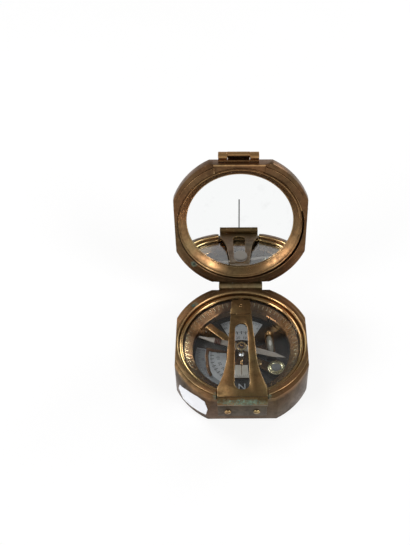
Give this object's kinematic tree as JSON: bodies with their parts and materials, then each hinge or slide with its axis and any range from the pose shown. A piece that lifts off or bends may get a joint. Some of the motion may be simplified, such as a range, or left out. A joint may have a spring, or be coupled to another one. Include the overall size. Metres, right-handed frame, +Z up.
{
  "type": "pocket transit compass",
  "caption": "Brass hand-held pocket transit: a sighting compass in a round-cornered case with a mirror lid, a folding slotted sight arm, a swinging needle and a clinometer with level vials.",
  "frame": {"origin": "under the middle of the footprint, on the plane that the case stands on, with the lid open as in the picture", "axes": "+Z up along the case axis, -Y towards the sight arm's hinge at the front, +Y towards the lid's hinge, +X to the right"},
  "size_m": [0.075, 0.111, 0.1031],
  "materials": {
    "aged_brass": "aged brown brass with worn edges",
    "bright_brass": "polished brass",
    "silvered_brass": "silvered brass",
    "steel": "turned steel",
    "copper_wire": "bare copper wire",
    "black_enamel": "black enamel on sheet metal",
    "white_enamel": "white enamel on sheet metal",
    "clear_glass": "clear polished glass",
    "silvered_mirror": "silvered plate glass",
    "ruby_jewel": "polished ruby"
  },
  "bodies": {
    "case": {"case_body": "aged_brass", "dial_plate": "black_enamel", "degree_scale": "white_enamel", "percent_scale": "white_enamel", "crystal_glass": "clear_glass", "bezel_ring": "bright_brass", "clinometer_bush": "bright_brass", "lift_bracket": "aged_brass", "lift_pivot_pin": "steel", "lift_spring": "steel", "rear_hinge_case_leaf": "aged_brass", "rear_hinge_pin": "steel", "rear_case_screw_1": "bright_brass", "rear_case_screw_2": "bright_brass", "front_hinge_leaf": "aged_brass", "front_hinge_pin": "steel", "front_screw_1": "bright_brass", "front_screw_2": "bright_brass"},
    "lid": {"lid_shell": "aged_brass", "mirror_glass": "silvered_mirror", "mirror_ring": "bright_brass", "rear_hinge_lid_leaf": "aged_brass", "rear_lid_screw_1": "bright_brass", "rear_lid_screw_2": "bright_brass", "lid_sight_leaf": "aged_brass", "lid_sight_pin": "steel"},
    "lid_sight": {"lid_sight_vane": "aged_brass"},
    "sight_arm": {"sight_arm": "aged_brass", "peep_pin": "steel"},
    "peep_sight": {"peep_sight": "aged_brass"},
    "clinometer": {"clinometer_shaft": "bright_brass", "vernier_arm": "silvered_brass", "tube_level_holder": "bright_brass", "tube_level_vial": "clear_glass", "bulls_eye_cup": "bright_brass", "bulls_eye_vial": "clear_glass", "crank_lever": "aged_brass", "crank_screw": "bright_brass", "needle_pivot": "steel"},
    "needle": {"needle_blade": "silvered_brass", "needle_hub": "bright_brass", "needle_cap": "bright_brass", "needle_jewel": "ruby_jewel", "needle_counterweight": "copper_wire"},
    "ring": {"graduated_ring": "bright_brass"},
    "pinion": {"adjusting_pinion": "steel"},
    "lift_lever": {"lift_lever": "bright_brass"},
    "lift_pin": {"lift_pin": "bright_brass"}
  },
  "joints": [
    {"name": "lid_hinge", "type": "hinge", "parent": "case", "child": "lid", "pos_m": [0, 0.02831, 0.0225], "axis": [-1, 0, 0], "range_deg": [-103, 62]},
    {"name": "lid_sight_hinge", "type": "hinge", "parent": "lid", "child": "lid_sight", "pos_m": [-0.0012, 0.05246, 0.1009], "axis": [1, 0, 0], "range_deg": [0, 180]},
    {"name": "sight_arm_hinge", "type": "hinge", "parent": "case", "child": "sight_arm", "pos_m": [0, -0.05382, 0.0233], "axis": [1, 0, 0], "range_deg": [0, 180]},
    {"name": "peep_sight_hinge", "type": "hinge", "parent": "sight_arm", "child": "peep_sight", "pos_m": [0, 0.00639, 0.02146], "axis": [1, 0, 0], "range_deg": [0, 95]},
    {"name": "needle_spin", "type": "hinge", "parent": "clinometer", "child": "needle", "pos_m": [0, -0.0126, 0.0155], "axis": [0, 0, 1], "continuous": true},
    {"name": "clinometer_turn", "type": "hinge", "parent": "case", "child": "clinometer", "pos_m": [0, -0.0126, 0.004], "axis": [0, 0, 1], "range_deg": [-90, 80]},
    {"name": "ring_adjust", "type": "hinge", "parent": "case", "child": "ring", "pos_m": [0, -0.0126, 0.012], "axis": [0, 0, 1], "range_deg": [-30, 30]},
    {"name": "pinion_turn", "type": "hinge", "parent": "case", "child": "pinion", "pos_m": [0.0375, -0.0126, 0.0084], "axis": [1, 0, 0], "continuous": true},
    {"name": "lift_lever_pivot", "type": "hinge", "parent": "case", "child": "lift_lever", "pos_m": [-0.01887, 0.00469, 0.0106], "axis": [-0.6756, -0.7373, 0], "range_deg": [0, 2.2], "stiffness_Nm_per_rad": 0.02},
    {"name": "lift_pin_slide", "type": "slide", "parent": "case", "child": "lift_pin", "axis": [0, 0, -1], "range_m": [0, 0.0005]}
  ],
  "couplings": [
    {"joint": "pinion_turn", "follows": "ring_adjust", "ratio": -15.75},
    {"joint": "lift_pin_slide", "follows": "lift_lever_pivot", "m_per_rad": 0.0125}
  ]
}
